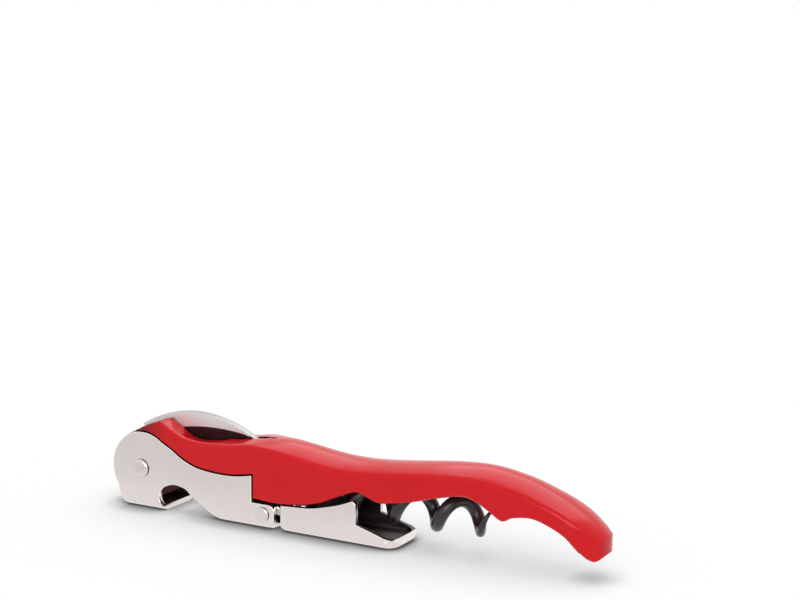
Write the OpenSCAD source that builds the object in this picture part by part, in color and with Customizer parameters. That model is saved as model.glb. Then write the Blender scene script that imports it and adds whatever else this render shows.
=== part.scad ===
// Waiter's corkscrew with a two-step lever, shown folded.
// X runs from the head to the tail, Z is up, and the lever's back plate rests on Z = 0.
// The origin is the middle of the folded tool's footprint.

/* [Overall] */
// Outer width of the lever and of the handle
body_w = 12; // [11.4:0.1:13]
// Clearance between pieces that pass each other
gap = 0.3; // [0.25:0.05:0.4]
// Radial running fit of a pin in its bore
fit = 0.03; // [0.02:0.01:0.06]

/* [Lever sheet] */
// Thickness of the steel sheet
sheet_t = 1.1; // [0.9:0.1:1.2]
// Outside radius of the bends along the sheet's edges
bend_r = 2; // [1.6:0.1:2.4]

/* [Upper arm] */
// Height of the main pivot above the resting face
pivot_z = 9.15; // [8.8:0.05:9.6]
// Radius of the round head of the side plates
head_r = 8.4; // [8:0.1:8.8]
// How far the round head's centre lies behind the main pivot
head_shift = 0.5; // [0:0.1:1]
// Front edge of the back plate, ahead of the main pivot
lip_x = 4.6; // [4:0.1:5]
// Main pivot to the crown cap hook
hook_x = 6; // [5:0.25:7]
// Height of the crown cap notch
notch_h = 6.4; // [6:0.1:6.8]
// Main pivot to the back of the crown cap notch
notch_x = 13.1; // [12:0.1:14]
// Main pivot to the foot of the slope behind the notch
slope_x = 22; // [20:0.5:24]
// Height of the arm at its narrowest
neck_z = 10.65; // [10:0.05:11]
// Main pivot to the first rim step
step_1_x = 29.8; // [29:0.1:31]
// Height of the first rim step
step_1_z = 11.5; // [11:0.1:12]
// Height of the arm's end past the first step
end_z = 5.5; // [5.2:0.1:5.6]
// Main pivot to the end of the upper arm
end_x = 35.65; // [35.4:0.05:36]

/* [Lever hinge] */
// Main pivot to the lever hinge
hinge_x = 32.7; // [32.4:0.1:33]
// Height of the lever hinge
hinge_z = 3.2; // [3.1:0.05:3.4]
// Radius of the hinge ears
ear_r = 1.9; // [1.7:0.05:1.9]
// Diameter of the hinge rivet
hinge_d = 2.2; // [1.8:0.1:2.2]
// Diameter of the hinge rivet's heads
hinge_head_d = 3.3; // [3:0.1:3.8]
// Wall of the spacer sleeve on the hinge rivet
sleeve_wall = 0.22; // [0.18:0.02:0.26]
// Wire of the hinge spring
spring_wire = 0.4; // [0.3:0.05:0.4]
// Turns of the hinge spring
spring_turns = 4; // [3:1:5]

/* [Lower arm] */
// Space between the ends of the two arms
arm_gap = 1.65; // [1.4:0.05:1.9]
// Height of the lower arm at its start
lower_z = 5.85; // [5.5:0.05:5.9]
// Main pivot to the second rim step
step_2_x = 56.05; // [55:0.05:58]
// Height of the second rim step
step_2_z = 9.5; // [9:0.1:9.8]
// Height at the foot of the second rim step
step_2_foot = 4.5; // [4:0.1:5]
// Length of the thumb tongue past the second step
tongue_len = 9.7; // [9:0.05:12]
// Height of the turned-up lip at the tongue's tip
tongue_lift = 0.85; // [0.6:0.05:1.1]

/* [Main rivet] */
// Diameter of the main rivet
rivet_d = 3.2; // [2.8:0.1:3.6]
// Diameter of the main rivet's heads
rivet_head_d = 4.2; // [3.8:0.1:5]
// Height of the rivet heads
rivet_head_h = 0.75; // [0.5:0.05:1]
// Outer diameter of the washers beside the handle
washer_d = 7; // [6:0.5:8]

/* [Worm] */
// Main pivot to the worm's pin
worm_x = 18.6; // [18.2:0.1:19]
// Height of the folded worm's axis
worm_z = 8.55; // [8.3:0.05:8.7]
// Outer diameter of the worm
worm_d = 8.7; // [8.2:0.1:8.8]
// Diameter of the worm's wire
wire_d = 2.8; // [2.5:0.1:3]
// Turns of the worm from its straight lead to the last low point
worm_turns = 4.5; // [3.5:1:5.5]
// Worm's point to the end of the tail
tip_room = 24.6; // [24:0.1:30]
// Diameter of the worm's shank
shank_d = 4.9; // [4.4:0.1:5.1]
// Length of the shank from the pin
shank_len = 13; // [12:0.1:13.4]
// Diameter of the worm's pin
worm_pin_d = 2; // [1.8:0.1:2.4]

/* [Handle] */
// Main pivot to the end of the tail
handle_len = 111; // [108:0.5:116]
// Space at each side of the head, between it and the side plates
side_gap = 0.3; // [0.2:0.05:0.4]
// Radius of the head's front
core_r = 7.5; // [7:0.1:7.6]
// Top of the head above the main pivot
hump_up = 11.4; // [11:0.1:11.8]
// Finger dip beside the knife, above the main pivot
dip_up = 8.05; // [7.8:0.05:8.3]
// Top of the shoulder above the main pivot
shoulder_up = 9.95; // [9.6:0.05:10.4]
// Top of the waist above the main pivot
waist_up = 8.25; // [7.9:0.05:8.6]
// Top of the back above the main pivot
back_up = 10.8; // [10.4:0.1:11.4]
// First finger hollow above the main pivot
hollow_1_up = 4.95; // [4.5:0.05:5.4]
// Ridge between the finger hollows, above the main pivot
ridge_up = 1.15; // [0.8:0.05:1.6]
// Second finger hollow above the main pivot
hollow_2_up = 2.75; // [2.3:0.05:3.2]
// Underside of the tail below the main pivot
tail_down = 4.5; // [4:0.1:5]
// Height of the rounded crown over the sides
crown = 2.1; // [1.7:0.1:2.5]
// Roundness of the lower edges
edge_r = 0.7; // [0.4:0.1:1]
// Side walls beside the worm's groove
wall_t = 1.4; // [1.2:0.1:1.5]
// Clear height over the folded worm
groove_head = 0.95; // [0.7:0.05:1.2]

/* [Knife] */
// Thickness of the knife's back
knife_t = 1.6; // [1.4:0.1:2]
// Thickness of the ground blade
blade_t = 0.8; // [0.6:0.1:1]
// Radius of the knife's curved back
knife_r = 29.5; // [28:0.5:31]
// Top of the knife's back above the main pivot
knife_up = 13.25; // [12.9:0.05:13.6]
// Main pivot to the middle of the knife's back
knife_mid = 12.2; // [11.8:0.1:12.6]
// Radius of the line where the blade's grinding starts
grind_r = 50; // [40:1:60]
// Top of the grinding line above the main pivot
grind_up = 10.35; // [10:0.05:10.7]
// Radius of the knife's edge
blade_r = 42; // [40:0.5:44]
// Lowest point of the knife's edge above the main pivot
blade_up = 5.05; // [4.8:0.05:5.3]
// Main pivot to the knife's pin
knife_pin_x = 25.4; // [25:0.1:25.6]
// Height of the knife's pin above the main pivot
knife_pin_up = 7.05; // [6.9:0.05:7.2]
// Radius of the knife's heel
heel_r = 3.6; // [3.3:0.1:3.8]
// Diameter of the knife's pin
knife_pin_d = 2; // [1.6:0.1:2.2]

/* [Hidden] */
$fn = 48;

// Footprint, from the front of the side plates to the tail
front_x = head_shift - head_r;
mid_x = (front_x + handle_len) / 2;
half_w = body_w / 2;
inner_w = body_w - 2 * sheet_t;
core_w = inner_w - 2 * side_gap;
worm_len = handle_len - worm_x - tip_room;
high = 40;
far = 200;

// Places of the pivots, as height over length
pivot = [0, pivot_z];
hinge = [hinge_x, hinge_z];
worm_pin_at = [worm_x, worm_z];
knife_pin_at = [knife_pin_x, pivot_z + knife_pin_up];

// A smooth line through a list of points, steps pieces between two of them
function between(a, b, c, d, t) =
    (2 * b + (c - a) * t + (2 * a - 5 * b + 4 * c - d) * t * t + (3 * b - a - 3 * c + d) * t * t * t) / 2;
function smooth_line(p, steps) = [
    for (i = [0:len(p) - 2])
        for (k = [0:steps - 1])
            between(p[max(i - 1, 0)], p[i], p[i + 1], p[min(i + 2, len(p) - 1)], k / steps),
    p[len(p) - 1]
];
function unit(v) = v / norm(v);

// Puts a piece drawn from the main pivot on the tool's own origin
module place() {
    translate([-mid_x, 0, 0])
        children();
}

// A side view, given as length and height, made w wide across the tool
module across(w) {
    rotate([90, 0, 0])
        linear_extrude(w, center = true)
            children();
}

// A plan view, given as length and side, made tall
module upright() {
    translate([0, 0, -high / 2])
        linear_extrude(high)
            children();
}

// A round bar across the tool
module bar(at, d, w) {
    translate([at.x, 0, at.y])
        rotate([90, 0, 0])
            cylinder(d = d, h = w, center = true);
}

// The section of a tray with rounded lower edges
module tray(w, r) {
    translate([-w / 2, r])
        square([w, high]);
    translate([r - w / 2, 0])
        square([w - 2 * r, high]);
    for (side = [-1, 1])
        translate([side * (w / 2 - r), r])
            circle(r);
}

// Bent sheet with two side plates and a back plate
module channel(from_x, to_x) {
    translate([from_x, 0, 0])
        rotate([90, 0, 90])
            linear_extrude(to_x - from_x)
                difference() {
                    tray(body_w, bend_r);
                    translate([0, sheet_t])
                        tray(inner_w, bend_r - sheet_t);
                }
}

// Tubes along a path

// Rings of points round a path, each with its own radius and its own upward direction
function tube_points(path, ups, radii, sides) = [
    for (i = [0:len(path) - 1])
        let(
            t = unit(path[min(i + 1, len(path) - 1)] - path[max(i - 1, 0)]),
            u = unit(ups[i] - (ups[i] * t) * t),
            v = cross(t, u)
        )
        for (k = [0:sides - 1])
            path[i] + radii[i] * (cos(360 * k / sides) * u + sin(360 * k / sides) * v)
];
function ring_faces(rings, sides) = [
    for (i = [0:rings - 2])
        for (k = [0:sides - 1])
            let(a = i * sides + k, b = i * sides + (k + 1) % sides)
                each [[a, a + sides, b], [b, a + sides, b + sides]]
];
function cap_faces(rings, sides) = [
    for (k = [1:sides - 2])
        each [[0, k, k + 1], [(rings - 1) * sides, (rings - 1) * sides + k + 1, (rings - 1) * sides + k]]
];
module loft(points, rings, sides) {
    polyhedron(points, concat(ring_faces(rings, sides), cap_faces(rings, sides)));
}

// Upper arm

// Top edge of the side plates, from the round head to the first step
leave = 52;
arm_top = smooth_line([
    [head_shift + head_r * cos(leave), pivot_z + head_r * sin(leave)],
    [8.4, pivot_z + 5.25],
    [11.2, pivot_z + 3.55],
    [15, neck_z + 0.6],
    [20, neck_z],
    [25, neck_z + 0.05],
    [step_1_x, step_1_z]
], 5);
notch_edge = smooth_line([
    [notch_x, notch_h - 1.3],
    [notch_x - 1.2, notch_h - 0.45],
    [hook_x + 3.4, notch_h],
    [hook_x + 1.6, notch_h - 0.3],
    [hook_x - 0.1, notch_h - 1.2],
    [hook_x - 1.1, notch_h - 2.7],
    [hook_x - 0.9, 2.2],
    [hook_x, 0.9]
], 4);
end_r = 1.5;
foot_r = 1.3;

module upper_blank() {
    bar([head_shift, pivot_z], 2 * head_r, far);
    across(far)
        polygon(concat(
            [[-head_r * 0.8, pivot_z - 3.7], [0, pivot_z]],
            arm_top,
            [[step_1_x, end_z], [end_x - end_r, end_z], [end_x, end_z - end_r]],
            [[end_x, foot_r], [end_x - foot_r, 0], [-lip_x, 0], [-lip_x - 0.6, 0.9], [-lip_x - 1.6, 3]]
        ));
    bar([end_x - end_r, end_z - end_r], 2 * end_r, far);
    bar([end_x - foot_r, foot_r], 2 * foot_r, far);
}
module crown_cap_notch() {
    across(far)
        polygon(concat([[slope_x, 0]], notch_edge, [[hook_x, -1], [slope_x, -1]]));
}

// Slots in the back plate's end, inside the side plates, where the lower arm's ears swing through
relief_x = hinge_x + 0.9;
ear_out = inner_w / 2 - 0.1;
ear_in = ear_out - sheet_t;
relief_in = ear_in - gap;
relief_out = ear_out + gap;
module ear_relief() {
    for (side = [-1, 1]) {
        translate([relief_x, side * (relief_in + relief_out) / 2 - (relief_out - relief_in) / 2, -1])
            cube([end_x, relief_out - relief_in, hinge_z + 1]);
        translate([hinge_x, side * (relief_in + relief_out) / 2, hinge_z])
            rotate([90, 0, 0])
                cylinder(r = ear_r + gap, h = relief_out - relief_in, center = true);
    }
}

module upper_lever_arm() {
    color("silver")
        place()
            difference() {
                intersection() {
                    upper_blank();
                    channel(-far, far);
                }
                crown_cap_notch();
                bar(pivot, rivet_d + 2 * fit, far);
                bar(hinge, hinge_d + 2 * fit, far);
                ear_relief();
            }
}

// Lower arm

lower_x = end_x + arm_gap;
start_x = lower_x - 2;
tip_x = step_2_x + tongue_len;
tip_r = 3.4;
lower_top = smooth_line([
    [lower_x, lower_z],
    [lower_x + 4.5, lower_z + 0.25],
    [step_2_x - 10.5, lower_z + 0.65],
    [step_2_x - 4.8, step_2_z - 1.55],
    [step_2_x - 0.8, step_2_z]
], 5);

module lower_side_view() {
    polygon(concat(
        [[lower_x, sheet_t], [lower_x, lower_z]],
        lower_top,
        [[step_2_x, step_2_z - 0.6], [step_2_x, step_2_foot]],
        [[tip_x - 1.15, tongue_lift + 1.2], [tip_x + 0.7, tongue_lift - 0.5], [tip_x + 0.7, -1]],
        [[lower_x + 0.9, -1], [lower_x + 0.9, 0]]
    ));
}

// A solid tray with bent sides and a rounded end that turns up, set in by one sheet for its hollow
function quarter(x, y, r, from) = [
    for (k = [0:8])
        [x, y] + r * [cos(from + 90 * k / 8), sin(from + 90 * k / 8)]
];
module tray_block(inset) {
    w = half_w - inset;
    end = tip_x - inset;
    plan_r = tip_r - inset;
    fold_r = bend_r - inset;
    intersection() {
        translate([start_x, 0, inset])
            rotate([90, 0, 90])
                linear_extrude(far)
                    polygon(concat(
                        [[-w, high]],
                        quarter(fold_r - w, fold_r, fold_r, 180),
                        quarter(w - fold_r, fold_r, fold_r, 270),
                        [[w, high]]
                    ));
        upright()
            polygon(concat(
                [[start_x, w], [start_x, -w]],
                quarter(end - plan_r, plan_r - w, plan_r, 270),
                quarter(end - plan_r, w - plan_r, plan_r, 0)
            ));
        across(far)
            polygon(concat(
                [[start_x, inset]],
                quarter(end - fold_r, inset + fold_r, fold_r, 270),
                [[end, high], [start_x, high]]
            ));
    }
}

// The ears are set in by one sheet, so that they fit inside the upper arm
ear_up = 0.2;
module ear_plan(side) {
    from_x = hinge_x - ear_r - 1;
    scale([1, side])
        polygon([
            [from_x, ear_in], [from_x, ear_out], [end_x + 0.4, ear_out], [lower_x + 0.5, half_w - 0.1],
            [lower_x + 4, half_w - 0.1], [lower_x + 4, ear_out - 0.2], [lower_x + 1.2, ear_out - 0.2],
            [end_x + 1.2, ear_in]
        ]);
}
module ear_side_view() {
    translate(hinge)
        circle(ear_r);
    translate([hinge_x, hinge_z + ear_up])
        square([lower_x + 4 - hinge_x, ear_r - ear_up]);
}

module lower_lever_arm() {
    color("silver")
        place()
            difference() {
                union() {
                    intersection() {
                        across(far)
                            lower_side_view();
                        difference() {
                            tray_block(0);
                            tray_block(sheet_t);
                        }
                    }
                    for (side = [-1, 1])
                        intersection() {
                            upright()
                                ear_plan(side);
                            across(far)
                                ear_side_view();
                        }
                }
                bar(hinge, hinge_d + 2 * fit, far);
            }
}

// Rivets and washers

// A domed rivet head on the outer face of a side plate
module rivet_head(d, h) {
    rim = h * 0.3;
    dome = h - rim;
    dome_r = (d * d / 4 + dome * dome) / (2 * dome);
    cylinder(d = d, h = rim);
    intersection() {
        translate([0, 0, h - dome_r])
            sphere(dome_r);
        cylinder(d = d, h = h);
    }
}
module rivet(at, d, head_d, head_h) {
    bar(at, d, body_w + 0.2);
    for (turn = [90, -90])
        translate([at.x, 0, at.y])
            rotate([turn, 0, 0])
                translate([0, 0, half_w])
                    rivet_head(head_d, head_h);
}

module main_rivet() {
    color("gainsboro")
        place()
            rivet(pivot, rivet_d, rivet_head_d, rivet_head_h);
}

washer_t = side_gap - 2 * fit;
module pivot_washers() {
    color("white")
        place()
            for (side = [-1, 1])
                translate([0, side * (core_w + side_gap) / 2, pivot_z])
                    rotate([90, 0, 0])
                        difference() {
                            cylinder(d = washer_d, h = washer_t, center = true);
                            cylinder(d = rivet_d + 2 * fit, h = far, center = true);
                        }
}

module hinge_rivet() {
    color("gainsboro")
        place()
            rivet(hinge, hinge_d, hinge_head_d, rivet_head_h * 0.85);
}

sleeve_d = hinge_d + 2 * fit + 2 * sleeve_wall;
sleeve_len = 2 * ear_in - 0.1;
module hinge_sleeve() {
    color("dimgray")
        place()
            difference() {
                bar(hinge, sleeve_d, sleeve_len);
                bar(hinge, hinge_d + 2 * fit, far);
            }
}

// Torsion spring round the sleeve, one leg along each arm's back plate
coil_r = sleeve_d / 2 + 0.06 + spring_wire / 2;
coil_w = spring_turns * (spring_wire + 0.42);
leg_len = 4.6;
leg_reach = lower_x - hinge_x + 2;
coil_steps = 12;
spring_path = concat(
    [[hinge_x - leg_len, -coil_w / 2, hinge_z - coil_r]],
    [
        for (i = [0:spring_turns * coil_steps])
            let(turn = i / coil_steps)
                [hinge_x + coil_r * sin(360 * turn), coil_w * (turn / spring_turns - 0.5),
                    hinge_z - coil_r * cos(360 * turn)]
    ],
    [[hinge_x + leg_reach, coil_w / 2, hinge_z - coil_r]]
);
module hinge_spring() {
    sides = 6;
    rings = len(spring_path);
    color("slategray")
        place()
            loft(
                tube_points(
                    spring_path,
                    [for (p = spring_path) [0, 1, 0]],
                    [for (p = spring_path) spring_wire / 2],
                    sides
                ),
                rings,
                sides
            );
}

// Worm

coil_mid = (worm_d - wire_d) / 2;
lead_off = (shank_d - wire_d) / 2;
lead_from = worm_x + shank_len - 2.4;
lead_to = worm_x + shank_len + 3.2;
ease_len = 3;
tip_at = worm_x + worm_len;
point_len = 5.4;
curl_len = 6;
curl = 40;
pitch = (tip_at - 3.8 - lead_to - ease_len / 2) / worm_turns;
worm_rings = 150;
worm_sides = 10;

// Turn of the wire round the worm's axis at a given length, eased in from the straight lead,
// and tighter towards the point
function worm_turn(x) =
    let(d = x - lead_to, e = max(0, 1 - (tip_at - x) / curl_len))
        360 / pitch * (d < 0 ? 0 : d < ease_len ? d * d / (2 * ease_len) : d - ease_len / 2) + curl * e * e;
function worm_off(x) =
    let(t = min(max((x - lead_from) / (lead_to - lead_from), 0), 1))
        lead_off + (coil_mid - lead_off) * t * t * (3 - 2 * t);
function worm_up(x) = [0, sin(worm_turn(x)), cos(worm_turn(x))];
function worm_wire(x) = wire_d / 2 * min(1, 0.12 + 0.88 * (tip_at - x) / point_len);
worm_xs = [for (i = [0:worm_rings - 1]) lead_from + (tip_at - lead_from) * i / (worm_rings - 1)];
worm_path = [for (x = worm_xs) [x, 0, worm_z] + worm_off(x) * worm_up(x)];

module shank() {
    difference() {
        union() {
            translate([worm_x, 0, worm_z])
                rotate([0, 90, 0])
                    cylinder(d = shank_d, h = shank_len);
            bar(worm_pin_at, shank_d, shank_d);
        }
        translate([worm_x + shank_len, 0, worm_z - shank_d / 2 + wire_d / 2])
            rotate([0, 45, 0])
                translate([-far / 2, -far / 2, -far])
                    cube([far, far, far]);
        bar(worm_pin_at, worm_pin_d + 2 * fit, far);
    }
}
module worm() {
    color([0.15, 0.14, 0.15])
        place() {
            shank();
            loft(
                tube_points(
                    worm_path,
                    [for (x = worm_xs) worm_up(x)],
                    [for (x = worm_xs) worm_wire(x)],
                    worm_sides
                ),
                worm_rings,
                worm_sides
            );
        }
}

module worm_pin() {
    color("lightgray")
        place()
            bar(worm_pin_at, worm_pin_d, core_w - 0.2);
}

// Knife

knife_centre = [knife_mid, pivot_z + knife_up - knife_r];
blade_centre = [knife_mid + 1.8, pivot_z + blade_up + blade_r];
boss_r = knife_pin_d / 2 + 0.75;

// The crescent between the curved back and the edge, with a round heel behind the pin
module knife_side_view(grow) {
    intersection() {
        translate(knife_centre)
            circle(knife_r + grow, $fn = 180);
        translate(blade_centre)
            circle(blade_r + grow, $fn = 180);
        translate([-far, 0])
            square([far + knife_pin_x, far]);
    }
    intersection() {
        translate(knife_pin_at)
            circle(heel_r + grow);
        translate(knife_centre)
            circle(knife_r + grow, $fn = 180);
        translate(blade_centre)
            circle(blade_r + grow, $fn = 180);
    }
    translate(knife_pin_at)
        circle(boss_r + grow);
}
module knife_back_view() {
    difference() {
        knife_side_view(0);
        translate([knife_mid + 5, pivot_z + grind_up - grind_r])
            circle(grind_r, $fn = 180);
    }
    translate(knife_pin_at)
        circle(boss_r);
}

module knife_blade() {
    color("gainsboro")
        place()
            difference() {
                union() {
                    across(blade_t)
                        knife_side_view(0);
                    across(knife_t)
                        knife_back_view();
                }
                bar(knife_pin_at, knife_pin_d + 2 * fit, far);
            }
}

module knife_pin() {
    color([0.8, 0.16, 0.16])
        place()
            bar(knife_pin_at, knife_pin_d, body_w - 0.3);
}

// Handle

// Clear space over the flange, the arm's end and the lower arm
cheek_gap = 0.45;
cheek_z = end_z + cheek_gap;
cheek_x = step_1_x + cheek_gap;
dip_x = 18.6;
shoulder_x = 35;
waist_x = step_2_x - 0.55;
back_x = handle_len - 26.7;
shoulder_z = pivot_z + shoulder_up;
waist_z = pivot_z + waist_up;
back_z = pivot_z + back_up;
dip_z = pivot_z + dip_up;
hollow_1 = pivot_z + hollow_1_up;
ridge = pivot_z + ridge_up;
hollow_2 = pivot_z + hollow_2_up;
tail_z = pivot_z - tail_down;
peak_z = step_2_z + 1.9;

// Where the handle is cut across: back length and height, underside length and height,
// height of the crown and half width
handle_cuts = smooth_line([
    [8.6, dip_z + 0.8, 8.6, cheek_z, 0.4, half_w],
    [10.6, dip_z + 0.6, 10.6, cheek_z, 0.4, half_w],
    [13, dip_z + 0.45, 13, cheek_z, 0.3, half_w],
    [dip_x, dip_z, dip_x, cheek_z, 0.3, half_w],
    [dip_x + 5.4, dip_z + 0.6, dip_x + 5.4, cheek_z, 0.4, half_w],
    [shoulder_x - 6, shoulder_z - 0.4, shoulder_x - 5, cheek_z + 0.3, 0.6, half_w],
    [shoulder_x, shoulder_z, shoulder_x, cheek_z + 0.05, crown - 0.5, half_w],
    [shoulder_x + 5.5, shoulder_z - 0.4, shoulder_x + 5.5, cheek_z + 0.4, crown, half_w],
    [waist_x - 9.5, waist_z + 0.55, step_2_x - 9.55, peak_z - 3.85, crown, half_w],
    [waist_x - 4.5, waist_z + 0.1, step_2_x - 4.05, peak_z - 1.45, crown, half_w],
    [waist_x, waist_z, step_2_x, peak_z, crown - 0.3, half_w],
    [waist_x + 3.5, waist_z + 0.15, step_2_x + 2.85, peak_z - 0.85, crown - 0.4, half_w],
    [waist_x + 7, waist_z + 0.45, step_2_x + 5.85, peak_z - 1.55, crown - 0.5, half_w],
    [waist_x + 12.5, waist_z + 1.1, step_2_x + 11.95, peak_z - 0.5, crown - 0.5, half_w],
    [back_x - 9.8, back_z - 0.6, back_x - 9.3, hollow_1 - 1.25, crown - 0.2, half_w],
    [back_x - 4.3, back_z - 0.1, back_x - 3.5, hollow_1, crown, half_w],
    [back_x, back_z, back_x - 0.3, hollow_1 - 0.65, crown + 0.25, half_w],
    [back_x + 3.2, back_z - 0.3, back_x + 2.6, ridge + 1.6, crown + 0.2, half_w],
    [back_x + 6, back_z - 0.8, back_x + 5.5, ridge, crown + 0.15, half_w],
    [handle_len - 17.5, back_z - 1.5, handle_len - 18.8, hollow_2 - 0.6, crown, half_w],
    [handle_len - 13.5, back_z - 2.85, handle_len - 14.7, hollow_2 - 0.1, crown - 0.25, half_w],
    [handle_len - 9.4, back_z - 4.55, handle_len - 10.9, hollow_2 - 1.2, crown - 0.6, half_w - 0.15],
    [handle_len - 5.55, back_z - 6.6, handle_len - 7.7, tail_z + 4.35, crown - 0.8, half_w - 0.4],
    [handle_len - 2.3, back_z - 8.95, handle_len - 5.6, tail_z + 2.25, crown - 0.8, half_w - 0.8],
    [handle_len - 0.4, back_z - 10.65, handle_len - 3.8, tail_z + 0.5, crown - 0.75, half_w - 1.25],
    [handle_len + 0.6, back_z - 11.55, handle_len - 2.3, tail_z - 0.2, crown - 0.7, half_w - 1.6],
    [handle_len + 1.3, back_z - 12.25, handle_len - 1.2, tail_z + 0.05, crown - 0.8, half_w - 1.9],
    [handle_len + 1.8, back_z - 12.75, handle_len, tail_z + 1.15, crown - 1.2, half_w - 2.2]
], 2);

// One cut across the handle: flat sides, rounded lower edges and a crowned back
crown_steps = 10;
function cut_across(c) =
    let(
        top = [c[0], 0, c[1]],
        low = [c[2], 0, c[3]],
        h = norm(top - low),
        up = (top - low) / h,
        w = c[5],
        r = min(edge_r, h / 4),
        side_h = h - c[4]
    )
    [
        for (p = concat(
            [[r - w, 0], [w - r, 0], [w - 0.3 * r, 0.3 * r], [w, r]],
            [for (k = [0:crown_steps])
                [w * cos(180 * k / crown_steps), side_h + c[4] * pow(sin(180 * k / crown_steps), 2)]],
            [[-w, r], [0.3 * r - w, 0.3 * r]]
        ))
            low + p.x * [0, 1, 0] + p.y * up
    ];
cut_sides = crown_steps + 7;

// The tail is cut off along a slight dome
dome_r = 14;
module tail_dome() {
    difference() {
        translate([handle_len - 4, -body_w, -1])
            cube([far, 2 * body_w, pivot_z + 5]);
        translate([handle_len - dome_r, 0, -2])
            cylinder(r = dome_r, h = high, $fn = 120);
    }
}

module grip() {
    rings = len(handle_cuts);
    difference() {
        loft([for (c = handle_cuts) each cut_across(c)], rings, cut_sides);
        tail_dome();
    }
}

// Space for the lever's side plates at both sides of the head
module plate_pocket() {
    across(far)
        polygon(concat(
            [[0, -1], [0, pivot_z + 7]],
            [for (p = arm_top) p + [0.15, cheek_gap]],
            [[cheek_x, step_1_z + cheek_gap], [cheek_x, -1]]
        ));
    bar([head_shift, pivot_z], 2 * (head_r + cheek_gap), far);
}

core_end = 24.5;
core_low = sheet_t + 0.5;
roof_z = notch_h + 0.4;
function on_head(r, angle) = pivot + r * [cos(angle), sin(angle)];
hump_z = pivot_z + hump_up;
head_top = smooth_line([
    [-1.6, hump_z - 2.9], [0.35, hump_z - 1.8], [1.75, hump_z - 1.15], [3.1, hump_z - 0.6],
    [4.8, hump_z - 0.15], [6.4, hump_z], [7.6, hump_z - 0.35], [8.6, dip_z + 1.8], [9.6, dip_z + 0.9],
    [11.2, dip_z + 0.4], [13, dip_z + 0.2], [15.5, dip_z + 0.05], [dip_x, dip_z]
], 4);
core_outline = concat(
    smooth_line([
        on_head(core_r, 165), on_head(core_r + 0.35, 145), on_head(core_r + 0.65, 128),
        on_head(core_r + 0.65, 107)
    ], 4),
    head_top,
    [[core_end, dip_z - 0.5], [core_end, core_low], [slope_x - 1.4, core_low]],
    [[notch_x + 0.1, roof_z - 0.8], [notch_x - 1, roof_z], [hook_x - 1.6, roof_z]],
    [for (angle = [-58:-5:-190]) on_head(core_r, angle)]
);
module head_core() {
    across(core_w)
        polygon(core_outline);
}

// The head's top, as wide as the grip where it stands clear over the side plates
module head_cap() {
    across(body_w)
        polygon(concat(head_top, [[dip_x, pivot_z], [-1.6, pivot_z]]));
}

// Groove for the folded worm, open to the underside
groove_z = worm_z + worm_d / 2 + groove_head;
groove_end = back_x - 10.3;
module worm_groove() {
    across(body_w - 2 * wall_t)
        polygon([
            [core_end, -1], [core_end, worm_z + shank_d / 2 + gap + 0.1],
            [worm_x + shank_len - 1, worm_z + shank_d / 2 + gap + 0.1],
            [worm_x + shank_len + 3, groove_z], [groove_end - 5, groove_z], [groove_end, groove_z - 1.3],
            [groove_end, -1]
        ]);
}

// Slot for the worm's shank, with a rounded roof
module shank_slot() {
    slot_w = shank_d + 2 * gap;
    translate([worm_x - shank_d / 2 - 1.1, -slot_w / 2, -1])
        cube([core_end + 1 - worm_x + shank_d / 2 + 1.1, slot_w, worm_z + 1]);
    translate([worm_x - shank_d / 2 - 1.1, 0, worm_z])
        rotate([0, 90, 0])
            cylinder(d = slot_w, h = core_end + 1 - worm_x + shank_d / 2 + 1.1);
}

// Slot for the folded knife, open above it
module knife_slot() {
    slot_w = knife_t + 0.4;
    across(slot_w) {
        knife_side_view(gap);
        intersection() {
            translate(blade_centre)
                circle(blade_r + gap, $fn = 180);
            translate([-head_r, pivot_z])
                square([head_r + knife_pin_x, high]);
        }
        translate(knife_pin_at)
            circle(heel_r + gap);
        translate(knife_pin_at)
            polygon([[0, 0], [heel_r + gap, 0], [heel_r + gap + 3.2, 7], [0, 7]]);
    }
}

module handle_body() {
    color([0.8, 0.16, 0.16])
        place()
            difference() {
                union() {
                    difference() {
                        union() {
                            grip();
                            head_cap();
                        }
                        plate_pocket();
                    }
                    head_core();
                }
                worm_groove();
                shank_slot();
                knife_slot();
                bar(pivot, rivet_d + 2 * fit, far);
                bar(worm_pin_at, worm_pin_d + 2 * fit, far);
                bar(knife_pin_at, knife_pin_d + 2 * fit, far);
            }
}

handle_body();
upper_lever_arm();
lower_lever_arm();
main_rivet();
pivot_washers();
hinge_rivet();
hinge_sleeve();
hinge_spring();
worm();
worm_pin();
knife_blade();
knife_pin();
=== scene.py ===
"""Looks of a folded two-step corkscrew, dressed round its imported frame."""

from math import cos, pi, radians, sin, sqrt

import bmesh
import bpy
from mathutils import Matrix, Vector, kdtree


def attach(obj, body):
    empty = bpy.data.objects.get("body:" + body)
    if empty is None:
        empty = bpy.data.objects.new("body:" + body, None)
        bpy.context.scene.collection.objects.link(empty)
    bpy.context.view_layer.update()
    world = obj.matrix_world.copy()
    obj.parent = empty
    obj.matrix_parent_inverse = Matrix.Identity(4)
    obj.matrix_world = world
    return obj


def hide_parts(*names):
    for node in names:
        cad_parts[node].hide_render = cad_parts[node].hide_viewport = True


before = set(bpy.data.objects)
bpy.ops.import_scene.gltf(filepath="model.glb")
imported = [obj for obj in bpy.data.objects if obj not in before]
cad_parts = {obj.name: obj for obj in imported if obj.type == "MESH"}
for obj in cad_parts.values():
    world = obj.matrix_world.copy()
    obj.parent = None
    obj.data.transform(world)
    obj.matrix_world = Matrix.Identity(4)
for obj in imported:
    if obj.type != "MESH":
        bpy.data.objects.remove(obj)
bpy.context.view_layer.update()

# The tool is drawn in millimetres from the main pivot, as its source is
MM = 0.001
MID_X = 51.55


def spot(x, y, z):
    """A place on the tool, in metres in the shared frame."""
    return Vector(((x - MID_X) * MM, y * MM, z * MM))


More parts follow.
